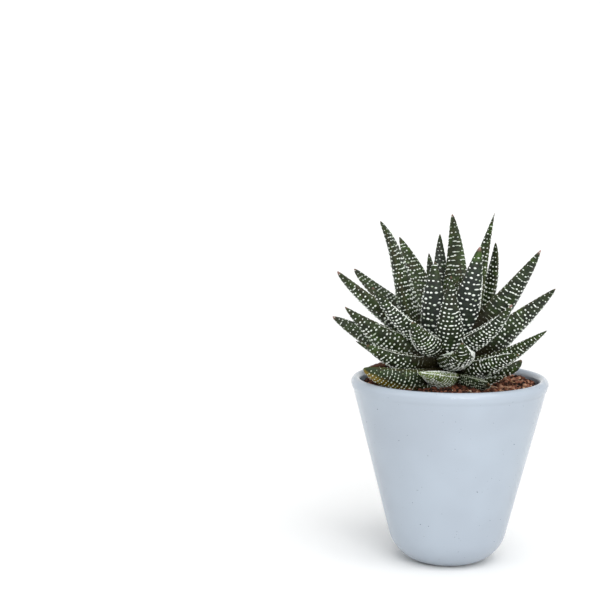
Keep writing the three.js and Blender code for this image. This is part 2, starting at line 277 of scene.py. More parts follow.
def glazeMaterial():
    look = glazeLook
    material, wire = newMaterial("whiteGlaze")
    clouds = wire.noise(look["cloudSize"], 2).above(0.3, 0.7)
    colour = wire.mix(clouds, look["colour"], look["cloud"])
    specks = wire.noise(look["speckSize"], 1).above(*look["specksFrom"])
    colour = wire.mix(specks * look["speckStrength"], colour, look["speck"])
    wire.finish({
        "Base Color": colour,
        "Roughness": look["roughness"] + wire.noise(look["roughnessSize"]) * look["roughnessSpread"],
        "Normal": wire.bump(wire.noise(look["rippleSize"], 2), look["rippleDepth"]),
        "IOR": 1.42,
    })
    return material


points, faces = lathe(potProfile(), potShape["sides"])
makePiece("pot_glazed", points, faces, glazeMaterial(), "pot")
print("pot made")


# soil

soilShape = {
    "edgeHeight": 107.7,
    "radius": 52.2,
    "mound": 1,
    "moundSlope": 0.6,
    "lump": 0.6,
    "smallLump": 0.4,
    "lumpSize": 3.2,
    "grain": 0.55,
    "grainWaves": ((0.9, 3.1, 1), (2.1, 7.7, 0.6)),  # waves per millimetre, level in the noise, strength
    "toneWaves": 0.25,
    "wallGap": 0.5,
    "floorGap": 0.3,
    "sides": 300,
    "rings": 84,
    "shadeFadeX": (-12, 28),  # x where the painted shade on the left fades out and where the lit right side starts
    # how dark the painted shade makes the crumbs' tone
    "shadeTone": 0.5,
    "seed": 5,
}


def soilHeight(x, y):
    # broad and small lumps on a low mound, and grain over both
    shape = soilShape
    u, v = x / shape["lumpSize"], y / shape["lumpSize"]
    broad = math.sin(u + 1.2) * math.cos(0.9 * v - 0.4)
    small = math.sin(2.7 * u - 1.7 * v) * math.cos(3 * v + 0.7 * u)
    mound = eased((1 - math.hypot(x, y) / shape["radius"]) / shape["moundSlope"])
    height = shape["edgeHeight"] + shape["mound"] * mound
    grain = 0
    for waves, level, strength in shape["grainWaves"]:
        grain += strength * noise.noise(Vector((x * waves, y * waves, level)))
    return height + shape["lump"] * broad + shape["smallLump"] * small + shape["grain"] * grain


def soilBody():
    # fills the pot from its floor and is finely divided on top only
    shape = soilShape
    floor = potShape["floorThickness"] + shape["floorGap"]
    corner = floor + potShape["floorCorner"]
    shoulder = shape["edgeHeight"] - potShape["lipInside"]
    angles = [side / shape["sides"] * fullTurn for side in range(shape["sides"])]
    points = [(0, 0, floor)]
    buried = ((floor, potShape["floorCorner"] / 2), (corner, 0), (shoulder, 0))
    for height, pull in buried:
        radius = wallRadius(height) - potShape["wallThickness"] - shape["wallGap"] - pull
        points += [(radius * math.cos(angle), radius * math.sin(angle), height) for angle in angles]
    for ring in range(shape["rings"]):
        radius = shape["radius"] * (1 - ring / shape["rings"])
        for angle in angles:
            x, y = radius * math.cos(angle), radius * math.sin(angle)
            points.append((x, y, soilHeight(x, y)))
    points.append((0, 0, soilHeight(0, 0)))
    return np.array(points), skinFaces(len(buried) + shape["rings"], shape["sides"])


# colours that each kind of soil bit runs through, from its darkest to its palest
soilLook = {
    "peat": ("130b08", "2a1811", "3f251a"),
    "crumbs": ("150c09", "3e241a", "7c4c3a", "a0705a", "cda688"),
    "fibres": ("6b4029", "9c6a45", "c49a70"),
    "pale": ("b89a7c", "e2d6c2"),
    "mottle": 0.4,
    "mottleSize": 0.8,
    "grainSize": 0.5,
    "grainDepth": 0.25,
}


def peatMaterial(kind):
    look = soilLook
    material, wire = newMaterial("soil_" + kind)
    colours = look[kind]
    stops = [(i / (len(colours) - 1), paint(code)) for i, code in enumerate(colours)]
    colour = wire.node("ShaderNodeValToRGB", {"stops": stops}, {"Fac": wire.value("tone")})
    mottle = wire.noise(look["mottleSize"], 4).above(0.4, 0.7)
    colour = wire.mix(mottle * look["mottle"], colour, paint(look["peat"][0]))
    wire.finish({
        "Base Color": colour,
        "Roughness": 0.95,
        "Specular IOR Level": 0.2,
        "Normal": wire.bump(wire.noise(look["grainSize"], 4), look["grainDepth"]),
    })
    return material


crumbShape = {
    "fine": dict(count=5200, sizes=(0.3, 0.75), flat=(0.5, 0.95), lift=0.3),
    "coarse": dict(count=1900, sizes=(0.8, 1.9), flat=(0.5, 0.95), lift=0.4),
    "pale": dict(count=60, sizes=(0.4, 0.9), flat=(0.5, 0.9), lift=0.6),
    "rough": (0.62, 1.25),  # how far in and out the corners of a crumb stand
    "long": (0.7, 1.5),
    "wide": (0.6, 1.1),
    "tilt": 0.5,
    "edgeGap": 1.2,
    "overEdge": 0.2,
    "middle": 0.02,  # the share of the soil that is left free round the stem
}


def lumpTemplate():
    # a closed lump of 12 corners and 20 faces
    golden = (1 + 5 ** 0.5) / 2
    corners = []
    for a in (-1, 1):
        for b in (-golden, golden):
            corners += [(0, a, b), (a, b, 0), (b, 0, a)]
    corners = np.array(corners, dtype=float)
    corners /= np.linalg.norm(corners[0])
    edge = min(np.linalg.norm(corners[0] - other) for other in corners[1:])
    faces = []
    for i in range(12):
        for j in range(i + 1, 12):
            for k in range(j + 1, 12):
                sides = [np.linalg.norm(corners[p] - corners[q]) for p, q in ((i, j), (j, k), (i, k))]
                if max(sides) < edge * 1.01:
                    normal = np.cross(corners[j] - corners[i], corners[k] - corners[i])
                    faces.append((i, j, k) if np.dot(normal, corners[i]) > 0 else (i, k, j))
    return corners, faces


def soilShadeFactor(x):
    # painted shade: the soil is darker on the left and under the leaves, where they shade it, and
    # lighter and redder on the right
    low, high = soilShape["shadeFadeX"]
    return soilShape["shadeTone"] + (1 - soilShape["shadeTone"]) * eased((x - low) / (high - low))


def scatterCrumbs(rnd, bits):
    shape, soil = crumbShape, soilShape["radius"]
    corners, lumpFaces = lumpTemplate()
    points, faces, tones = [], [], []
    while len(points) < bits["count"]:
        angle = rnd.uniform(0, fullTurn)
        radius = (soil - shape["edgeGap"]) * math.sqrt(rnd.uniform(shape["middle"], 1))
        size = rnd.uniform(*bits["sizes"])
        if radius + size > soil + shape["overEdge"]:
            continue
        x, y = radius * math.cos(angle), radius * math.sin(angle)
        rough = np.array([rnd.uniform(*shape["rough"]) for corner in corners])[:, None]
        stretch = [rnd.uniform(*shape["long"]), rnd.uniform(*shape["wide"]), rnd.uniform(*bits["flat"])]
        heading = Matrix.Rotation(rnd.uniform(0, fullTurn), 3, "Z")
        tilt = Matrix.Rotation(rnd.uniform(-shape["tilt"], shape["tilt"]), 3, "X")
        lump = (corners * rough * np.array(stretch) * size) @ np.array(heading @ tilt).T
        lump += (x, y, soilHeight(x, y) + size * bits["lift"])
        start = len(corners) * len(points)
        faces += [tuple(corner + start for corner in face) for face in lumpFaces]
        points.append(lump)
        # painted shade lowers the tone of crumbs on the left and under the leaves
        tones += [rnd.random() * soilShadeFactor(x)] * len(corners)
    return np.concatenate(points), faces, tones


fibreShape = {
    "count": 480,
    "lengths": (3, 11),
    "thickness": (0.1, 0.24),
    "thinEnd": 0.45,
    "bend": 0.35,
    "wander": 0.25,
    "rise": (0.1, 0.9),
    "lift": 0.12,
    "edgeGap": 2,
    "endGap": 0.5,
    "middle": 0.05,
    "steps": 8,
    "fewest": 4,  # where the pot's wall leaves it fewer points than this, a fibre is left out
    "sides": 5,
}


def strand(path, radius):
    # a closed thread along a path, thinner at both ends
    sides, thinEnd = fibreShape["sides"], fibreShape["thinEnd"]
    rings = []
    for i, point in enumerate(path):
        along = path[min(i + 1, len(path) - 1)] - path[max(i - 1, 0)]
        along /= np.linalg.norm(along)
        across = np.cross(along, (0, 0, 1))
        across /= max(np.linalg.norm(across), 1e-6)
        up = np.cross(across, along)
        thin = radius * (thinEnd + (1 - thinEnd) * math.sin(math.pi * (i + 0.5) / len(path)))
        for side in range(sides):
            turn = side / sides * fullTurn
            rings.append(point + thin * (math.cos(turn) * across + math.sin(turn) * up))
    points = [path[0]] + rings + [path[-1]]
    return np.array(points), skinFaces(len(path), sides)


def scatterFibres(rnd, shape):
    points, faces, tones = [], [], []
    soil, steps = soilShape["radius"], shape["steps"]
    for fibre in range(shape["count"]):
        length = rnd.uniform(*shape["lengths"])
        heading = rnd.uniform(0, fullTurn)
        angle = rnd.uniform(0, fullTurn)
        radius = (soil - shape["edgeGap"]) * math.sqrt(rnd.uniform(shape["middle"], 1))
        x, y = radius * math.cos(angle), radius * math.sin(angle)
        path = []
        bend = rnd.uniform(-shape["bend"], shape["bend"])
        rise = rnd.uniform(*shape["rise"])
        for step in range(steps + 1):
            if math.hypot(x, y) > soil - shape["endGap"]:
                break
            lift = shape["lift"] + rise * math.sin(math.pi * step / steps)
            path.append(np.array((x, y, soilHeight(x, y) + lift)))
            heading += bend + rnd.uniform(-shape["wander"], shape["wander"])
            x += length / steps * math.cos(heading)
            y += length / steps * math.sin(heading)
        if len(path) < shape["fewest"]:
            continue
        thread, threadFaces = strand(path, rnd.uniform(*shape["thickness"]))
        faces += [tuple(corner + len(tones) for corner in face) for face in threadFaces]
        points.append(thread)
        tones += [rnd.random()] * len(thread)
    return np.concatenate(points), faces, tones


rnd = random.Random(soilShape["seed"])
points, faces = soilBody()
tones = [0.5 + 0.5 * noise.noise(Vector(point) * soilShape["toneWaves"]) for point in points]
makePiece("soil_peat", points, faces, peatMaterial("peat"), "soil", {"tone": tones})
crumbMaterial = peatMaterial("crumbs")
looseBits = (
    ("crumbs_fine", crumbMaterial, scatterCrumbs, crumbShape["fine"]),
    ("crumbs_coarse", crumbMaterial, scatterCrumbs, crumbShape["coarse"]),
    ("fibres", peatMaterial("fibres"), scatterFibres, fibreShape),
    ("pale_bits", peatMaterial("pale"), scatterCrumbs, crumbShape["pale"]),
)
for name, material, scatter, bits in looseBits:
    points, faces, tones = scatter(rnd, bits)
    makePiece("soil_" + name, points, faces, material, values={"tone": tones})
print("soil made")


# stem

stemShape = {
    "foot": 94,
    "top": 133,
    "neck": 116,  # above it the stem narrows to topRadius
    "radius": 8.5,
    "topRadius": 3,
    "scarDepth": 0.25,  # ring-shaped scars of old leaves
    "scarStep": 2.6,
    "steps": 48,
    "sides": 64,
}
stemLook = {
    "bark": paint("4a4526"),
    "pale": paint("8a8450"),
    "cloudSize": 2,
    "grainSize": 1.2,
    "grainDepth": 0.3,
}


def stemRadius(height):
    shape = stemShape
    share = min(max((height - shape["neck"]) / (shape["top"] - shape["neck"]), 0), 1)
    return shape["radius"] + (shape["topRadius"] - shape["radius"]) * share


def stemMaterial():
    look = stemLook
    material, wire = newMaterial("stemBark")
    wire.finish({
        "Base Color": wire.mix(wire.noise(look["cloudSize"], 4), look["bark"], look["pale"]),
        "Roughness": 0.8,
        "Normal": wire.bump(wire.noise(look["grainSize"], 4), look["grainDepth"]),
    })
    return material


def stemProfile():
    shape = stemShape
    profile = [(0, shape["foot"])]
    for height in np.linspace(shape["foot"], shape["top"], shape["steps"]):
        scar = shape["scarDepth"] * math.cos(height * fullTurn / shape["scarStep"])
        profile.append((stemRadius(height) - shape["scarDepth"] + scar, height))
    return profile + [(0, shape["top"])]


points, faces = lathe(stemProfile(), stemShape["sides"])
makePiece("stem_core", points, faces, stemMaterial(), "stem")
print("stem made")


# leaves

# azimuth, tipOut, tipHeight, rootRise, tipRise, width, rootHeight, sway, turn, taper, style:
# every leaf grows from the stem at rootHeight and points to its azimuth (0 is +X, -90 the front),
# with its tip tipOut from the axis. The rises are in degrees above level. Sway bends it sideways,
# turn rolls it about its own length, and a lower taper keeps it broad for longer. The style is the
# line of pearlStyles that its pearls follow.
leafRows = {
    "heart_1": (50, 9, 174, 75, 90, 9, 134, 0, 0, 0.68, "plain"),
    "heart_2": (190, 8, 175, 75, 90, 8, 134, 0, 0, 0.68, "plain"),
    "heart_3": (-60, 7, 171, 75, 90, 7, 134, 0, 0, 0.68, "plain"),
    "inner_1": (-114.5, 22.5, 183.5, 44, 102, 24, 132, 0, -3, 0.68, "big"),
    "inner_2": (90, 35.5, 208, 65, 74, 19, 131.5, -3, -8, 0.62, "lined"),
    "inner_3": (-61, 33.5, 193.5, 50, 80, 21, 134, -2, -13, 0.62, "big"),
    "inner_4": (166.5, 44.5, 205, 41, 49, 23, 126.5, 0.5, -4, 0.56, "plain"),
    "inner_5": (48, 39, 210, 62, 66, 20, 130, 0.5, 0, 0.95, "plain"),
    "inner_6": (-90, 40, 177.5, 29, 74, 19.5, 129, -0.5, -1, 0.72, "bold"),
    "upper_1": (-26.5, 57.5, 192, 48, 55, 24, 128.5, 0.5, -24, 0.7, "lined"),
    "upper_2": (132.5, 48, 193.5, 61, 52, 25.5, 126.5, -1.5, -3, 0.68, "plain"),
    "upper_3": (-56.5, 62.5, 163, 25, 45, 18, 130, -0.5, -9, 0.62, "dense"),
    "upper_4": (-131.5, 67.5, 171.5, 32, 43, 16.5, 127.5, -1, 12, 0.6, "dense"),
    "upper_5": (-164.5, 69.5, 177, 46, 43, 20.5, 125, 0.5, 17, 0.5, "plain"),
    "upper_6": (99.5, 45, 195, 50, 75, 18, 126, 0.5, 3, 0.68, "plain"),
    "upper_7": (37.5, 33.5, 192, 46, 96, 17, 126, 3, 2, 0.6, "plain"),
    "upper_8": (70, 60, 172, 35, 50, 16, 125, 0, 0, 0.68, "plain"),
    "middle_1": (-118.5, 46, 150.5, 9, 51, 21.5, 131, 0, 22, 0.62, "crowded"),
    "middle_2": (-83, 55.5, 141, 17, 43, 22.5, 125.5, 1.5, 9, 0.66, "round"),
    "middle_3": (105, 55, 182, 38, 62, 17, 123, 0, 0, 0.68, "plain"),
    "middle_4": (152, 68, 173.5, 56, 41, 18.5, 125.5, -0.5, -20, 0.52, "plain"),
    "middle_5": (-22.5, 65.5, 169.5, 40, 42, 23.5, 121.5, -1, -33, 0.68, "plain"),
    "middle_6": (122, 60, 164, 30, 48, 16, 122, 0, 0, 0.68, "plain"),
    "middle_7": (-153.5, 69, 157.5, 26, 41, 25.5, 120.5, 0.5, 42, 0.78, "plain"),
    "middle_8": (92, 66, 154, 22, 38, 16, 120, 0, 0, 0.68, "plain"),
    "middle_9": (4, 52, 158, 34, 40, 14, 120, 0, 0, 0.68, "plain"),
    "middle_10": (-36, 68.5, 147, 10, 33, 17.5, 118.5, 0, -34, 0.78, "small"),
    "lower_1": (-140, 62.5, 136.5, -9, 27, 20, 125.5, -1, 25, 0.5, "plain"),
    "lower_2": (165, 75, 145, 16, 25, 22.5, 119, -0.5, -30, 0.6, "plain"),
    "lower_3": (-50, 61, 133.5, -12, 11, 14, 121, 1.5, -39, 0.5, "dense"),
    "lower_4": (135, 62, 145, 15, 30, 15, 117, 0, 0, 0.68, "plain"),
    "lower_5": (52, 58, 135, 10, 28, 16, 116, 0, 0, 0.68, "plain"),
    "lower_6": (-165, 58, 135, 8, 22, 17, 115, 0, 0, 0.68, "small"),
    "lower_7": (113, 58, 132, 6, 22, 15, 115, 0, 0, 0.68, "small"),
    "lower_8": (-18.5, 44.5, 125.5, 14, 54, 18.5, 119.5, -1.5, -32, 0.52, "small"),
    "lower_9": (27, 52, 131, 8, 28, 15, 115, 0, 0, 0.68, "small"),
    "bottom_1": (-111.5, 49.5, 122, 7, 9, 21, 115, 2.5, 4, 0.78, "fine"),
    "bottom_2": (-141, 64, 122.8, -5, 20, 26, 113, 1.5, 38, 0.52, "old"),
    "bottom_3": (-61.5, 48, 115.5, -4, 8, 11.5, 112.5, 3.5, -50, 0.42, "ringed"),
    "bottom_4": (-38, 42, 118, 3, 20, 13, 112, 0, 0, 0.68, "small"),
    "bottom_5": (90, 50, 121, 4, 15, 14, 113, 0, 0, 0.68, "small"),
    "bottom_6": (-122, 38, 111, 0, 0, 12, 111, 0, 0, 0.68, "small"),
    "dried_leaf": (175, 52, 115, 20, -25, 15, 117, 0, 0, 0.68, None),
}

leafShape = {
    "rootClear": 1.3,
    "pull": 0.36,  # how strongly the slopes at root and tip shape the curve
    "widestAt": 0.22,
    "rootWidth": 0.72,
    "swell": 0.8,
    "keelDepth": 0.82,  # depth of the outer face as a share of half the width
    "keelRound": 0.9,
    "faceDepth": 0.2,
    "faceRound": 1.2,
    "sides": 40,
    "ringsPerRow": 4,
    "ridge": 0.14,  # how far the skin swells under a row of pearls
    "ridgeFade": 8,
    "lastRow": 0.5,
    "tipRings": (0.45, 0.2),
    "seed": 11,
}

# Pearls stand in rows across the leaf. rowStep is from row to row and pitch from pearl to pearl,
# fill the share of places that have one, joined the share that run into the next one, slip how
# far they stray from their row as a share of rowStep, green how far they are from white, bare how
# far from its root a leaf gets its first full pearls and ends its painted olive shade, and edge how
# much smaller they are at the leaf's edges.
pearlWords = "rowStep pitch length width height fill joined slip green bare edge".split()
pearlStyles = {
    "plain": (2.8, 2.4, 1.6, 1.2, 0.7, 0.93, 0.08, 0.2, 0.1, 34, 0.3),
    "lined": (3.0, 2.2, 1.6, 1.05, 0.65, 0.9, 0.32, 0.2, 0.1, 48, 0.3),
    "big": (3.0, 2.9, 2.0, 1.3, 0.7, 0.95, 0.04, 0.2, 0, 18, 0.3),
    "bold": (2.6, 2.6, 1.7, 1.15, 0.7, 0.97, 0.05, 0.12, 0, 11, 0.3),
    "dense": (2.6, 2.3, 1.65, 1.15, 0.6, 0.95, 0.06, 0.1, 0, 18, 0.3),
    "crowded": (2.3, 2.1, 1.65, 1.1, 0.55, 0.97, 0.12, 0.08, 0, 25, 0.3),
    "round": (3.0, 2.7, 1.95, 1.0, 0.45, 0.98, 0.12, 0.03, 0, 9, 0.5),
    "small": (2.5, 2.1, 1.5, 1.05, 0.5, 0.95, 0.08, 0.15, 0.2, 14, 0.3),
    "old": (2.3, 2.0, 1.4, 1.05, 0.5, 0.96, 0.08, 0.15, 0.4, 28, 0.3),
    "ringed": (2.0, 1.8, 1.1, 0.85, 0.45, 0.95, 0.05, 0.1, 0.55, 8, 0.3),
    "fine": (2.1, 1.8, 1.5, 1.05, 0.4, 0.95, 0.35, 0.1, 0, 13, 0.3),
}

# Where close pearls make a white line along a leaf: the angle round it in degrees (0 and 180 are
# its edges, between 180 and 360 its outer face), the shares of its length where it starts and
# ends, and the size of its pearls.
whiteLines = {
    "inner_3": ((354, 0.15, 0.75, 1.15),),
    "inner_1": ((188, 0.3, 0.6, 0.5),),
    "upper_4": ((354, 0.2, 0.8, 0.7), (186, 0.15, 0.7, 0.8)),
    "upper_3": ((353, 0.15, 0.92, 1.4), (344, 0.2, 0.65, 1.2), (188, 0.35, 0.85, 0.4)),
    "upper_1": ((356, 0.35, 0.72, 0.7),),
    "upper_2": ((170, 0.35, 0.6, 0.6),),
    "middle_1": (
        (186, 0.5, 0.88, 1.2), (195, 0.5, 0.8, 1.1), (204, 0.52, 0.68, 0.9), (352, 0.4, 0.7, 0.6),
    ),
    "middle_2": (
        (358, 0.2, 0.93, 1.2), (350, 0.2, 0.85, 1.2), (342, 0.2, 0.7, 1.1), (334, 0.25, 0.55, 0.9),
    ),
    "middle_5": ((356, 0.25, 0.6, 0.8),),
    "middle_7": ((352, 0.3, 0.7, 0.5),),
    "lower_1": ((352, 0.35, 0.9, 0.4), (200, 0.3, 0.8, 0.7)),
    "lower_3": ((356, 0.15, 0.95, 1), (184, 0.2, 0.9, 0.6)),
    "lower_8": ((352, 0.3, 0.9, 0.5),),
    "bottom_1": ((352, 0.15, 0.97, 0.9), (188, 0.15, 0.97, 0.9)),
    "bottom_3": ((350, 0.3, 0.97, 0.6), (192, 0.2, 0.97, 0.6)),
}

# Shares of painted sky reflection, a blue-black over a leaf's green, and of pink in its tip, from 0 to
# 1.
usualTint = (0.1, 0.1)
leafTints = {
    "inner_1": (0.9, 0.1), "inner_2": (0, 0.6), "inner_3": (1, 0.8), "inner_5": (0, 0.7),
    "inner_6": (0.5, 0.3), "upper_1": (0.4, 1), "upper_3": (0.4, 0.8), "upper_4": (0.4, 0.4),
    "upper_5": (0.1, 0.7), "upper_6": (0.6, 0.2), "middle_1": (0.3, 0), "middle_2": (0, 0.1),
    "middle_4": (0.1, 0.4), "middle_5": (0.4, 0.2), "middle_7": (0.1, 0.6), "lower_1": (0.2, 0),
    "lower_2": (0.1, 0.8), "lower_3": (0.2, 0), "bottom_3": (0.1, 0),
}


def turned(vectors, axes, angle):
    # vectors turned about unit axes
    cosine, sine = math.cos(angle), math.sin(angle)
    dots = np.sum(axes * vectors, axis=1)[:, None]
    return vectors * cosine + np.cross(axes, vectors) * sine + axes * dots * (1 - cosine)


def unit(vectors):
    return vectors / np.linalg.norm(vectors, axis=-1, keepdims=True)


class Leaf:
    # a bowed middle line and the skin round it
    def __init__(self, row):
        azimuth, tipOut, tipHeight, rootRise, tipRise, width, rootHeight, sway, turn, taper, style = row
        shape = leafShape
        root = np.array((stemRadius(rootHeight) + shape["rootClear"], rootHeight))
        tip = np.array((tipOut, tipHeight))
        handle = shape["pull"] * np.linalg.norm(tip - root)
        rise, fall = math.radians(rootRise), math.radians(tipRise)
        self.bow = (
            root,
            root + handle * np.array((math.cos(rise), math.sin(rise))),
            tip - handle * np.array((math.cos(fall), math.sin(fall))),
            tip,
        )
        azimuth = math.radians(azimuth)
        self.outward = np.array((math.cos(azimuth), math.sin(azimuth), 0))
        self.sideways = np.array((-math.sin(azimuth), math.cos(azimuth), 0))
        self.sway, self.turn = sway, math.radians(turn)
        self.width, self.taper, self.style = width, taper, style
        self.shares = np.linspace(0, 1, 401)
        steps = np.linalg.norm(np.diff(self.line(self.shares), axis=0), axis=1)
        self.lengths = np.concatenate([[0], np.cumsum(steps)])
        self.length = self.lengths[-1]

    def line(self, t):
        # points of the middle line; t is 0 at the root and 1 at the tip
        t = np.asarray(t, dtype=float)[:, None]
        a, b, c, d = self.bow
        bowed = a * (1 - t) ** 3 + 3 * b * t * (1 - t) ** 2 + 3 * c * t * t * (1 - t) + d * t ** 3
        points = bowed[:, :1] * self.outward + bowed[:, 1:] * np.array((0, 0, 1))
        return points + self.sideways * self.sway * 4 * t * (1 - t)

    def shareAt(self, length):
        # t at a length in millimetres from the root
        return np.interp(length, self.lengths, self.shares)

    def halfWidth(self, t):
        shape = leafShape
        swell = np.minimum(t / shape["widestAt"], 1) ** shape["swell"]
        fullest = (1 - shape["widestAt"]) ** self.taper
        share = np.maximum(1 - t, 0) ** self.taper / fullest
        return self.width / 2 * share * (shape["rootWidth"] + (1 - shape["rootWidth"]) * swell)

    def surface(self, t, angle, lift=0.0):
        # points of the skin; angles 0 and pi are its two edges, and from pi on comes the outer face
        t, angle = np.broadcast_arrays(np.asarray(t, dtype=float), np.asarray(angle, dtype=float))
        shape, flat, turn = t.shape, t.ravel(), angle.ravel()
        nudge = 0.0001
        along = unit(self.line(np.minimum(flat + nudge, 1)) - self.line(np.maximum(flat - nudge, 0)))
        across = unit(self.sideways - along * (along @ self.sideways)[:, None])
        across = turned(across, along, self.turn)
        inward = np.cross(along, across)
        half = self.halfWidth(flat)[:, None]
        sine, cosine = np.sin(turn), np.cos(turn)
        outer = -leafShape["keelDepth"] * np.abs(sine) ** leafShape["keelRound"]
        inner = leafShape["faceDepth"] * np.maximum(sine, 0) ** leafShape["faceRound"]
        depth = np.where(sine < 0, outer, inner)[:, None]
        lift = np.broadcast_to(lift, shape).ravel()[:, None]
        points = self.line(flat) + across * cosine[:, None] * (half + lift)
        points += inward * (half * depth + lift * sine[:, None])
        return points.reshape(shape + (3,))

    def frameAt(self, t, angle):
        # point, direction across the leaf, direction along it and outward normal
        here = self.surface(t, angle)
        nudge = 0.004
        across = unit(self.surface(t, angle + nudge) - self.surface(t, angle - nudge))
        low, high = np.maximum(t - nudge, 0), np.minimum(t + nudge, 0.999)
        along = unit(self.surface(high, angle) - self.surface(low, angle))
        normal = unit(np.cross(across, along))
        flip = np.sign(np.sum(normal * (here - self.line(t)), axis=1))
        flip[flip == 0] = 1
        normal *= flip[:, None]
        return here, across, unit(np.cross(normal, across)), normal


def grown(lengths, bare):
    # 0 near a leaf's root, where its pearls are small and a painted olive shade darkens skin and pearls,
    # and 1 from bare millimetres on
    start = 0.45 * bare
    return eased((lengths - start) / (bare - start))


def leafSkin(leaf, style, tint):
    shape, sides = leafShape, leafShape["sides"]
    rowStep = style["rowStep"]
    lengths = np.arange(0, leaf.length - shape["lastRow"], rowStep / shape["ringsPerRow"])
    lengths = np.concatenate([lengths, [leaf.length - gap for gap in shape["tipRings"]]])
    tipGaps = leaf.length - lengths
    angles = np.arange(sides) / sides * fullTurn
    wave = np.cos(lengths / rowStep * fullTurn)
    lift = shape["ridge"] * wave * np.clip(tipGaps / shape["ridgeFade"], 0, 1)
    rings = leaf.surface(leaf.shareAt(lengths)[:, None], angles[None, :], lift[:, None])
    ends = leaf.line([0, 1])
    points = np.concatenate([ends[:1], rings.reshape(-1, 3), ends[1:]])
    values = {
        "grown": np.concatenate([[0], np.repeat(grown(lengths, style["bare"]), sides), [1]]),
        "tipGap": np.concatenate([[leaf.length], np.repeat(tipGaps, sides), [0]]),
        "side": np.concatenate([[0], np.tile(np.cos(angles), len(lengths)), [0]]),
        # the share of painted blue-black sky reflection on this leaf
        "cool": np.full(len(points), tint[0]),
        "blush": np.full(len(points), tint[1]),
    }
    return points, skinFaces(len(lengths), sides), values


pearlShape = {
    "sides": 8,
    "dome": ((0.68, 0.72), (1.0, 0.12)),  # radius and height of its rings; its top is at 1
    "foot": -0.7,
    "start": 4,  # from the root to the first row
    "tipGap": 1.6,
    "sizes": (0.72, 1.2),
    "rowSteps": (0.9, 1.1),
    "stray": 0.17,  # along its row, as a share of the pitch
    "tipSize": 0.5,
    "tipReach": 0.35,  # the share of the leaf in which pearls shrink to tipSize
    "rootSize": 0.35,
    "edgePower": 6,
    "joinedReach": 0.62,
    "joinedSize": 0.8,
    "lineStep": 1.3,
    "lineSteps": (0.8, 1.25),
    "lineSizes": (0.7, 1.15),
    "lineStray": 2.5,  # degrees round the leaf
    "lineTone": 0.4,
    "lineLength": 1.6,
    "lineWidth": 0.85,
    "lineHeight": 0.5,
}


def pearlTemplate():
    # a closed low dome with its foot sunk in the skin
    angles = np.arange(pearlShape["sides"]) / pearlShape["sides"] * fullTurn
    points = [(0, 0, 1)]
    for radius, height in pearlShape["dome"]:
        points += [(radius * math.cos(angle), radius * math.sin(angle), height) for angle in angles]
    points.append((0, 0, pearlShape["foot"]))
    faces = skinFaces(len(pearlShape["dome"]), pearlShape["sides"])
    return np.array(points), [tuple(reversed(face)) for face in faces]


def pearlRows(leaf, style, rnd):
    # of each pearl: t, angle, half across, half along, height, tone, how far grown and out of the
    # painted root shade
    shape = pearlShape
    places = []
    ringAngles = np.linspace(0, fullTurn, 181)
    row = 0
    length = shape["start"]
    while length < leaf.length - shape["tipGap"]:
        full = float(grown(length, style["bare"]))
        ring = leaf.surface(float(leaf.shareAt(length)), ringAngles)
        walked = np.concatenate([[0], np.cumsum(np.linalg.norm(np.diff(ring, axis=0), axis=1))])
        girth = walked[-1]
        count = max(int(round(girth / style["pitch"])), 3)
        nearTip = min((1 - length / leaf.length) / shape["tipReach"], 1)
        slim = shape["tipSize"] + (1 - shape["tipSize"]) * nearTip
        slim *= shape["rootSize"] + (1 - shape["rootSize"]) * full
        for i in range(count):
            stray = rnd.uniform(-shape["stray"], shape["stray"])
            place = (i + 0.5 * (row % 2) + stray) / count * girth % girth
            angle = float(np.interp(place, walked, ringAngles))
            joined = rnd.random() < style["joined"]
            if rnd.random() > style["fill"]:
                continue
            edge = abs(math.cos(angle)) ** shape["edgePower"]
            size = slim * rnd.uniform(*shape["sizes"]) * (1 - style["edge"] * edge)
            half = style["length"] / 2 * size
            if joined:
                half = style["pitch"] * shape["joinedReach"]
                size *= shape["joinedSize"]
            slip = rnd.uniform(-style["slip"], style["slip"]) * style["rowStep"]
            places.append((
                float(leaf.shareAt(length + slip)), angle, half,
                style["width"] / 2 * size, style["height"] * size, rnd.random(), full,
            ))
        length += style["rowStep"] * rnd.uniform(*shape["rowSteps"])
        row += 1
    return places


def pearlLine(leaf, angle, start, end, scale, rnd):
    # close pearls, longer along the leaf than across it
    shape = pearlShape
    places = []
    length = start * leaf.length
    while length < end * leaf.length:
        size = scale * rnd.uniform(*shape["lineSizes"])
        turn = math.radians(angle + rnd.uniform(-shape["lineStray"], shape["lineStray"]))
        places.append((
            float(leaf.shareAt(length)), turn, shape["lineWidth"] / 2 * size,
            shape["lineLength"] / 2 * size, shape["lineHeight"] * size,
            rnd.uniform(0, shape["lineTone"]), 1,
        ))
        length += shape["lineStep"] * scale * rnd.uniform(*shape["lineSteps"])
    return places


def pearls(leaf, style, lines, rnd):
    # a copy of the dome for each place, scaled and turned to stand on the skin
    places = pearlRows(leaf, style, rnd)
    for line in lines:
        places += pearlLine(leaf, *line, rnd)
    places = np.array(places)
    template, templateFaces = pearlTemplate()
    here, across, along, normal = leaf.frameAt(places[:, 0], places[:, 1])
    half, width, height = (places[:, i, None, None] for i in (2, 3, 4))
    x, y, z = (template[None, :, i, None] for i in (0, 1, 2))
    points = here[:, None] + x * half * across[:, None] + y * width * along[:, None]
    points += z * height * normal[:, None]
    corners = len(template)
    faces = [tuple(c + corners * i for c in face) for i in range(len(places)) for face in templateFaces]
    values = {
        "tone": np.repeat(places[:, 5], corners),
        "grown": np.repeat(places[:, 6], corners),
        "green": np.full(len(places) * corners, style["green"]),
    }
    return points.reshape(-1, 3), faces, values


# Clouds of colour that lie over the deep green in this order: how large they are, their place in
# the noise, where they start and where they are full, and how strong they are.
leafClouds = {
    "green": (6, 0, 0.35, 0.65, 1),
    "fresh": (9, 5, 0.52, 0.75, 0.7),
    "brown": (5, 9, 0.5, 0.68, 0.65),
    "grey": (2.2, 0, 0.5, 0.75, 0.35),
}

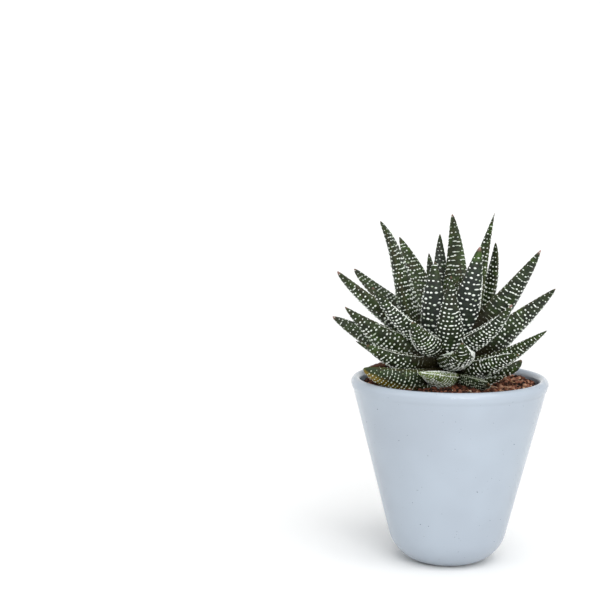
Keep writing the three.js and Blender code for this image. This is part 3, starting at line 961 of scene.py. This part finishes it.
leafLook = {
    "deep": paint("19200d"),
    "green": paint("2b3a16"),
    "fresh": paint("43601d"),
    # painted reflection: the blue-black of the sky's reflection on the skin
    "cool": paint("282d2d"),
    "grey": paint("384029"),
    "brown": paint("2c2512"),
    # painted shade near the root, where the leaves shade each other
    "rootShadeOlive": paint("1c1906"),
    "edge": paint("5a5236"),
    "tip": paint("5b4630"),
    "blush": paint("a07a74"),
    "patch": None,  # another colour on one side of an ageing leaf
    "patchPlace": None,
    "reflectionReach": (1, 16),  # from the tip to where the painted blue-black reflection is full
    "reflectionStrength": 0.8,
    "patchNoise": (4, 0.5),  # size and strength of what makes the limit of a colour uneven
    "rootShadeRange": (0.2, 1),
    "rootShadeNoise": (5, 0.3),
    "rimRange": (0.93, 0.98),
    "rimNoise": (3, 0.06),
    "rimStrength": 0.25,
    "tipStart": 0.6,
    "tipReach": 1.6,
    "blushReach": 2.4,  # how much further down the pink comes
    "tipNoise": (1.5, 1),
    "tipStrength": 0.9,
    "roughness": 0.42,
    "roughnessSpread": 0.2,
    "grainSize": 0.7,
    "grainDepth": 0.06,
}


def leafMaterial(name, look):
    material, wire = newMaterial(name)

    def uneven(key, detail=3):
        size, strength = look[key]
        return wire.noise(size, detail) * strength

    names = ("grown", "side", "tipGap", "cool", "blush")
    full, side, tipGap, cool, blush = (wire.value(key) for key in names)
    colour = look["deep"]
    for layer, (size, place, start, end, strength) in leafClouds.items():
        if layer == "grey":  # the grey bloom lies over the painted blue-black reflection too
            # painted reflection: blue-black of the sky's reflection over the green, fading out near the
            # tip
            green = 1 - cool * tipGap.above(*look["reflectionReach"]) * look["reflectionStrength"]
            colour = wire.mix(green, look["cool"], colour)
        cloud = wire.noise(size, offset=place).above(start, end)
        colour = wire.mix(cloud * strength, colour, look[layer])
    if look["patch"]:
        turn, start, end = look["patchPlace"]
        patch = (side * turn + uneven("patchNoise")).above(start, end)
        colour = wire.mix(patch, colour, look["patch"])
    # painted shade: dark olive over the skin near the root, where the leaves shade each other
    root = (1 - full + uneven("rootShadeNoise")).above(*look["rootShadeRange"])
    colour = wire.mix(root, colour, look["rootShadeOlive"])
    rim = (abs(side) - uneven("rimNoise")).above(*look["rimRange"])
    colour = wire.mix(rim * (1 - root) * look["rimStrength"], colour, look["edge"])
    tipEnd = blush * look["blushReach"] + look["tipReach"]
    tip = 1 - (tipGap + uneven("tipNoise", 2)).above(look["tipStart"], tipEnd)
    tipColour = wire.mix(blush, look["tip"], look["blush"])
    wire.finish({
        "Base Color": wire.mix(tip * look["tipStrength"], colour, tipColour),
        "Roughness": look["roughness"] + wire.noise(1.4) * look["roughnessSpread"],
        "Normal": wire.bump(wire.noise(look["grainSize"]), look["grainDepth"]),
        "Specular IOR Level": 0.25,
    })
    return material


paleLook = dict(
    leafLook, deep=paint("58693a"), green=paint("7e9252"), fresh=paint("9cae5e"), grey=paint("a2ad84"),
    brown=paint("5c6434"), rootShadeOlive=paint("33380f"), edge=paint("b4bc98"), tip=paint("7d8a5a"),
    patch=paint("8a9a2e"), patchPlace=(-1, 0.2, 0.8),  # its edge, where it starts and is full
)
# painted shade: darker greens for a leaf that lies in the others' shade; the yellow-olive patch on one
# side is its own ageing colour
oldShadedLook = dict(
    leafLook, deep=paint("111a0b"), green=paint("1f2f10"), fresh=paint("2f4817"), edge=paint("5c5210"),
    tip=paint("3c5028"), patch=paint("6e5a08"), patchPlace=(-1, -0.3, 0.4),
)

pearlLook = {
    "white": paint("f7faf5"),
    "cool": paint("dae3d8"),
    "green": paint("84966a"),
    "greenFrom": (0.86, 0.96),  # of the tones from 0 to 1, the last few turn green
    "greenStrength": 0.6,
    # painted shade on the pearls near the leaf's root
    "rootShadeOlive": paint("3a3916"),
    "rootShadeStrength": 0.9,
    "grainSize": 0.4,
    "grainDepth": 0.03,
}


def pearlMaterial():
    look = pearlLook
    material, wire = newMaterial("pearlWhite")
    tone, full, green = (wire.value(key) for key in ("tone", "grown", "green"))
    colour = wire.mix(tone, look["white"], look["cool"])
    green += tone.above(*look["greenFrom"]) * look["greenStrength"]
    colour = wire.mix(green, colour, look["green"])
    # painted shade: pearls near the root are darkened to olive, as in the shade between the leaves
    colour = wire.mix((1 - full) * look["rootShadeStrength"], colour, look["rootShadeOlive"])
    wire.finish({
        "Base Color": colour,
        "Roughness": 0.5,
        "Normal": wire.bump(wire.noise(look["grainSize"], 2), look["grainDepth"]),
    })
    return material


driedLook = {
    "dark": paint("2f1913"),
    "brown": paint("6b3f30"),
    "cloudSize": 3,
    "tan": paint("93664c"),
    "tanStrength": 0.5,
    "grainSize": 1.2,
    "grainDepth": 0.4,
}


def driedMaterial():
    look = driedLook
    material, wire = newMaterial("driedSkin")
    clouds = wire.noise(look["cloudSize"], 4).above(0.35, 0.7)
    colour = wire.mix(clouds, look["dark"], look["brown"])
    rim = abs(wire.value("side")).above(0.9, 1)
    wire.finish({
        "Base Color": wire.mix(rim * look["tanStrength"], colour, look["tan"]),
        "Roughness": 0.8,
        "Normal": wire.bump(wire.noise(look["grainSize"], 4), look["grainDepth"]),
    })
    return material


skins = {
    "leaf": leafMaterial("leafSkin", leafLook),
    "pale_leaf": leafMaterial("paleLeafSkin", paleLook),
    "old_leaf": leafMaterial("oldShadedLeafSkin", oldShadedLook),
    "dried_leaf": driedMaterial(),
}
pearlSkin = pearlMaterial()
slots = {"bottom_1": "pale_leaf", "bottom_2": "old_leaf", "dried_leaf": "dried_leaf"}
rnd = random.Random(leafShape["seed"])
pearlCount = 0
for name, row in leafRows.items():
    leaf = Leaf(row)
    slot = slots.get(name, "leaf")
    node = name if name == "dried_leaf" else "leaf_" + name
    style = dict(zip(pearlWords, pearlStyles[leaf.style or "plain"]))
    points, faces, values = leafSkin(leaf, style, leafTints.get(name, usualTint))
    makePiece(node + "_skin", points, faces, skins[slot], node, values)
    if leaf.style:
        points, faces, values = pearls(leaf, style, whiteLines.get(name, ()), rnd)
        makePiece("pearls_" + name, points, faces, pearlSkin, values=values)
        pearlCount += len(faces) // len(pearlTemplate()[1])
print("leaves made:", len(leafRows), "with", pearlCount, "pearls")


# floor, light and camera

# sizes and places of the stage are in metres
stageLook = {
    "floor": paint("f4f4f3"),
    "innerRadius": 0.5,
    "flatRadius": 1.9,
    "bend": 0.7,
    "bendSteps": 16,
    "wallHeight": 1.7,
    "sides": 96,
    "world": ((0.95, 0.97, 1.0, 1.0), 0.47),  # colour and strength
    "aim": (0, 0, 0.12),  # the lamps point here
    "sun": (1.9, (0.45, -0.8, 1.3), math.radians(60)),  # strength, place and spread
    "key": (7.0, (0.4, -1.2, 0.55), (0.7, 0.11)),  # power, place, width and height
    "fill": (1.5, (-0.9, -0.6, 0.6), (0.6, 0.6)),
    "top": (2.0, (0.0, 0.3, 1.1), (0.8, 0.8)),
}


def floorMaterial():
    material, wire = newMaterial("paleFloor")
    wire.finish({
        "Base Color": stageLook["floor"],
        "Roughness": 0.9 + wire.noise(4, 2) * 0.02,
        "Specular IOR Level": 0.1,
    })
    return material


def makeFloor():
    # a pale floor that bends up into a wall all round, like a wide bowl
    look = stageLook
    flat, bend, sides = look["flatRadius"], look["bend"], look["sides"]
    line = [(look["innerRadius"], 0), (flat, 0)]
    for step in range(1, look["bendSteps"] + 1):
        angle = step / look["bendSteps"] * math.pi / 2
        line.append((flat + bend * math.sin(angle), bend * (1 - math.cos(angle))))
    line.append((flat + bend, look["wallHeight"]))
    points = [(0, 0, 0)]
    for radius, height in line:
        for side in range(sides):
            angle = side / sides * fullTurn
            points.append((radius * math.cos(angle), radius * math.sin(angle), height))
    # without the faces to the last point the bowl stays open at its top
    faces = [face for face in skinFaces(len(line), sides) if len(points) not in face]
    floor = makeObject("floor_bowl", points, faces, floorMaterial())


def addLamp(name, light, place):
    lamp = bpy.data.objects.new(name, light)
    lamp.location = place
    aim = Vector(stageLook["aim"]) - Vector(place)
    lamp.rotation_euler = aim.to_track_quat("-Z", "Y").to_euler()
    bpy.context.scene.collection.objects.link(lamp)


def makeLights():
    strength, place, spread = stageLook["sun"]
    sun = bpy.data.lights.new("soft_sun", "SUN")
    sun.energy, sun.angle = strength, spread
    addLamp("soft_sun", sun, place)
    for name in ("key", "fill", "top"):
        power, place, (width, height) = stageLook[name]
        box = bpy.data.lights.new(name + "_softbox", "AREA")
        box.shape = "RECTANGLE"
        box.energy, box.size, box.size_y = power, width, height
        addLamp(name + "_softbox", box, place)


def makeWorld():
    world = bpy.data.worlds.new("studio")
    world.use_nodes = True
    sockets = world.node_tree.nodes["Background"].inputs
    sockets["Color"].default_value, sockets["Strength"].default_value = stageLook["world"]
    bpy.context.scene.world = world
    bpy.context.scene.view_settings.view_transform = "Standard"


cameraView = {
    "lens": 97.86,
    "sensor": 36,
    "nearest": 0.05,
    "place": (0, -0.9762, 0.2760),
    "right": (0.99561, 0.09339, 0.00569),
    "up": (-0.01686, 0.11923, 0.99272),
    "back": (0.09203, -0.98846, 0.12028),
}


def makeCamera():
    view = cameraView
    camera = bpy.data.cameras.new("camera")
    camera.lens = view["lens"]
    camera.sensor_width = view["sensor"]
    camera.sensor_fit = "HORIZONTAL"
    camera.clip_start = view["nearest"]
    turn = Matrix((view["right"], view["up"], view["back"])).transposed().to_4x4()
    holder = bpy.data.objects.new("camera", camera)
    holder.matrix_world = Matrix.Translation(view["place"]) @ turn
    bpy.context.scene.collection.objects.link(holder)
    bpy.context.scene.camera = holder


makeFloor()
makeLights()
makeWorld()
makeCamera()
print("stage set")
